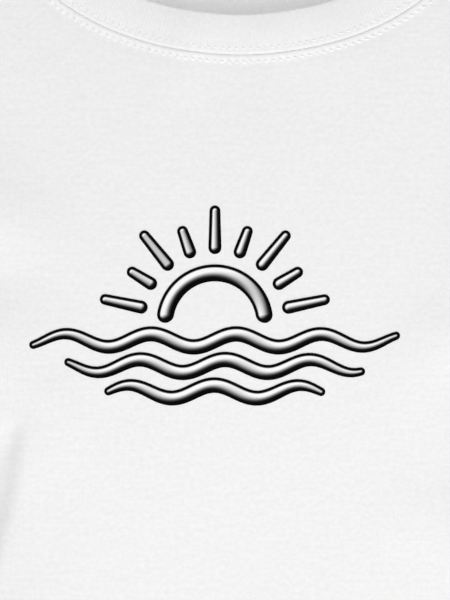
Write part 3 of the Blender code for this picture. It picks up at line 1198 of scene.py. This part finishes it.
# Greys of the ink, by how far the drawn bar turns to the light
INK_GLOSS = ((0.0, 0.0), (0.60, 0.0), (0.69, 0.04), (0.76, 0.26), (0.81, 0.60), (0.87, 0.95))
INK_OUTLINE = ((0.36, 0.0), (0.50, 1.0))  # by the distance in from a stroke's edge


class Nodes:
    """Adds and links the nodes of a new material, with its shader's constants set."""

    def __init__(self, name, grey, roughness, sheen=0.0, specular=0.5):
        self.material = bpy.data.materials.new(name)
        self.material.use_nodes = True
        self.tree = self.material.node_tree
        self.shader = self.tree.nodes["Principled BSDF"]
        self.set(self.shader, {"Base Color": (grey, grey, grey, 1), "Roughness": roughness})
        self.set(self.shader, {"Sheen Weight": sheen, "Specular IOR Level": specular})

    def set(self, node, inputs):
        """Sets a node's inputs to constants, or links them to other nodes' outputs."""
        for socket, value in inputs.items():
            if isinstance(value, bpy.types.NodeSocket):
                self.tree.links.new(value, node.inputs[socket])
            else:
                node.inputs[socket].default_value = value

    def add(self, kind, inputs=None, **properties):
        node = self.tree.nodes.new("ShaderNode" + kind)
        set_all(node, properties)
        self.set(node, inputs or {})
        return node

    def math(self, operation, first, second):
        return self.add("Math", {0: first, 1: second}, operation=operation).outputs[0]

    def places(self, name="cloth"):
        return self.add("UVMap", uv_map=name).outputs["UV"]

    def mapped(self, places, scale=(1, 1, 1), turn=0.0):
        inputs = {"Vector": places, "Scale": scale, "Rotation": (0, 0, turn)}
        return self.add("Mapping", inputs).outputs["Vector"]

    def bands(self, places, pitch, direction="X", wobble=1.2):
        """Soft bands that far apart, a little uneven, from 0 to 1."""
        inputs = {
            "Vector": places,
            "Scale": 1 / (pitch * WAVE_TEXTURE_TURNS),
            "Distortion": wobble,
            "Detail": 1.0,
            "Detail Scale": 0.6,
        }
        return self.add("TexWave", inputs, bands_direction=direction).outputs["Fac"]

    def clouds(self, places, size):
        return self.add("TexNoise", {"Vector": places, "Scale": 1 / size}).outputs["Fac"]

    def ramp(self, factor, stops):
        """A colour ramp through (place, grey) stops."""
        node = self.add("ValToRGB", {"Fac": factor})
        while len(node.color_ramp.elements) < len(stops):
            node.color_ramp.elements.new(1.0)
        for element, (place, grey) in zip(node.color_ramp.elements, stops):
            element.position = place
            element.color = (grey, grey, grey, 1)
        return node.outputs["Color"]

    def colour(self, factor, dark, light):
        """Colours the shader from one grey to the other."""
        stops = zip(MOTTLE_SPREAD, (dark, light))
        self.set(self.shader, {"Base Color": self.ramp(factor, tuple(stops))})

    def bump(self, height, depth, strength):
        bump = self.add("Bump", {"Height": height, "Distance": depth, "Strength": strength})
        self.set(self.shader, {"Normal": bump.outputs["Normal"]})


def knit_height(nodes, wale, course):
    """Columns of loops with finer rows across them, under a little fuzz."""
    places = nodes.places()
    columns = nodes.bands(places, wale)
    rows = nodes.bands(places, course, "Y")
    fuzz = nodes.clouds(places, FUZZ)
    least, loop_weight, fuzz_weight = LOOPS
    loops = nodes.math("MULTIPLY", columns, nodes.math("ADD", rows, least))
    weighed = nodes.math("MULTIPLY", loops, loop_weight), nodes.math("MULTIPLY", fuzz, fuzz_weight)
    return nodes.math("ADD", *weighed)


def mottle(nodes, dark, light):
    """A colour that varies faintly, in specks and in streaks across the knit."""
    parts = []
    for (size, stretch), share in ((GRAIN, 1 - STREAK_SHARE), (STREAKS, STREAK_SHARE)):
        places = nodes.mapped(nodes.places(), (1, stretch, 1))
        parts.append(nodes.math("MULTIPLY", nodes.clouds(places, size), share))
    nodes.colour(nodes.math("ADD", *parts), dark, light)


def knit(name, grey, roughness, greys, pitches, bump):
    """Knitted cloth from its darkest to its lightest grey, with its loops as bumps."""
    nodes = Nodes(name, grey, roughness, sheen=0.12)
    mottle(nodes, *greys)
    nodes.bump(knit_height(nodes, *pitches), *bump)
    return nodes.material


def tape_material():
    nodes = Nodes("white twill tape", grey=0.80, roughness=0.85)
    mottle(nodes, dark=0.78, light=0.82)
    slanted = nodes.mapped(nodes.places(), turn=pi / 4)
    nodes.bump(nodes.bands(slanted, TWILL, wobble=0.4), KNIT_DEPTH, strength=0.8)
    return nodes.material


def thread_material():
    nodes = Nodes("white thread", grey=0.94, roughness=0.6, sheen=0.2)
    fibres = nodes.clouds(nodes.add("TexCoord").outputs["Object"], FIBRE)
    nodes.colour(fibres, dark=0.91, light=0.97)
    nodes.bump(fibres, FIBRE_DEPTH, strength=0.6)
    return nodes.material


def ink_material():
    """Black and greys drawn as if each stroke were a rounded, glossy bar."""
    nodes = Nodes("black and grey ink", grey=0.1, roughness=0.7, specular=0.05)
    axes = nodes.add("SeparateXYZ", {"Vector": nodes.places("gloss")}).outputs
    gloss = nodes.ramp(axes["X"], INK_GLOSS)
    outline = nodes.ramp(axes["Y"], INK_OUTLINE)
    nodes.set(nodes.shader, {"Base Color": nodes.math("MULTIPLY", gloss, outline)})
    nodes.bump(knit_height(nodes, WALE, COURSE), KNIT_DEPTH, strength=0.25)
    return nodes.material


def floor_material():
    return Nodes("pale floor", grey=0.71, roughness=0.8).material


# Camera, light and floor

CAMERA_HEIGHT = 1.2
SENSOR = 36
FLOOR_DROP = 0.001  # below the frame's nought, clear of the relief on the cloth's back
FLOOR_SIZE = 40
WORLD_STRENGTH = 0.35
SUNS = {  # where each shines from, its breadth in degrees and its strength
    "key": ((0.2, -1.7, 0.75), 20, 1.57),
    "fill": ((0.2, 1.1, 2.1), 35, 1.08),
}
SOFT_BOX = ((0.03, -0.02, 0.6), 0.4, 0.70)  # its place, size and power


def camera():
    """Straight down on the chest, with the photograph's frame on it."""
    data = bpy.data.cameras.new("camera")
    data.sensor_width = SENSOR
    at_cloth = loft(np.array([0.0]), np.array([IMAGE_CENTRE[1]]))[0]
    data.lens = SENSOR * (CAMERA_HEIGHT - at_cloth) / (IMAGE_SIZE[1] * PIXEL)
    data.clip_start = 0.01
    bpy.context.scene.camera = placed("camera", data, (*IMAGE_CENTRE, CAMERA_HEIGHT))


def lamp(name, kind, place, energy):
    """A light that shines from there to the middle of the T-shirt."""
    data = bpy.data.lights.new(name, kind)
    data.energy = energy
    light = placed(name, data, place)
    light.rotation_euler = (-Vector(place)).to_track_quat("-Z", "Y").to_euler()
    light.visible_camera = False
    return data


def studio():
    world = bpy.data.worlds.new("studio")
    bpy.context.scene.world = world
    world.use_nodes = True
    background = world.node_tree.nodes["Background"]
    background.inputs["Color"].default_value = (1, 1, 1, 1)
    background.inputs["Strength"].default_value = WORLD_STRENGTH
    for name, (place, breadth, strength) in SUNS.items():
        lamp(name, "SUN", place, strength).angle = radians(breadth)
    place, size, power = SOFT_BOX
    lamp("soft box", "AREA", place, power).size = size
    bpy.context.scene.view_settings.view_transform = "Standard"
    bpy.ops.mesh.primitive_plane_add(size=FLOOR_SIZE, location=(0, 0, -FLOOR_DROP))
    floor = bpy.context.object
    floor.name = "floor"
    floor.data.materials.append(floor_material())


SIDES = {"left": 1, "right": -1}  # the wearer's


def finishes():
    """The materials by name."""
    knits = {name: knit(*values) for name, values in KNITS.items()}
    return knits | {"tape": tape_material(), "thread": thread_material(), "ink": ink_material()}


def hem_stitches(name, panels, hem, finish):
    """The stitches that hold a hem, through both layers' outer faces."""
    rail, depth = hem
    rows = [(panel, rail, depth - row) for panel in panels for row in HEM_ROWS]
    return stitches(name, rows, finish)


def neck_stitches(panels, bands, finish):
    """One row of stitches on either side of the neck seam."""
    rows = [(panel, NECK[panel.layer], NECK_ROW) for panel in panels]
    rows += [(band, NECK[band.layer], -BAND_ROW) for band in bands]
    return stitches("stitches_neck", rows, finish)


def tape_stitches(back, finish):
    face = Lining(back, CLOTH + LAYER_GAP + TAPE_THICKNESS)
    near, far = TAPE_EDGES
    rows = [(face, TAPE_RAIL, off) for off in (near + TAPE_ROW, far - TAPE_ROW)]
    return stitches("stitches_tape", rows, finish)


def make_body(drape, finish):
    """The body, hem, neckband, tape and print; returns the front and back pieces."""
    front, back = panels = [Panel(drape, layer, body_relief, HEM) for layer in LAYERS]
    bands = [Panel(drape, layer, band_relief) for layer in LAYERS]
    upper = body_panel("body_front", front, finish)
    lower = body_panel("body_back", back, finish)
    hem = turned_up("bottom_hem", panels, BODY_HEM, finish)
    hem_thread = hem_stitches("stitches_hem", panels, BODY_HEM, finish)
    band = neckband("neckband", bands, finish)
    neck_thread = neck_stitches(panels, bands, finish)
    strip = tape("neck_tape", back, finish)
    tape_thread = tape_stitches(back, finish)
    motif = print_piece("print_sun_and_waves", front, finish)

    return upper, lower


def make_sleeve(drape, name, side, finish):
    panels = [Panel(drape, layer, sleeve_relief, CUFF, side) for layer in LAYERS]
    piece = sleeve(f"sleeve_{name}", *panels, side, finish)
    hem = turned_up(f"sleeve_hem_{name}", panels, SLEEVE_HEM, finish)
    thread = hem_stitches(f"stitches_sleeve_{name}", panels, SLEEVE_HEM, finish)
    outline = sleeve_outline()


def main():
    camera()
    studio()
    source = first_drape()
    settle(source)
    drape = Drape(source)
    bpy.data.objects.remove(source)
    finish = finishes()
    body = make_body(drape, finish)
    for name, side in SIDES.items():
        make_sleeve(drape, name, side, finish)


main()
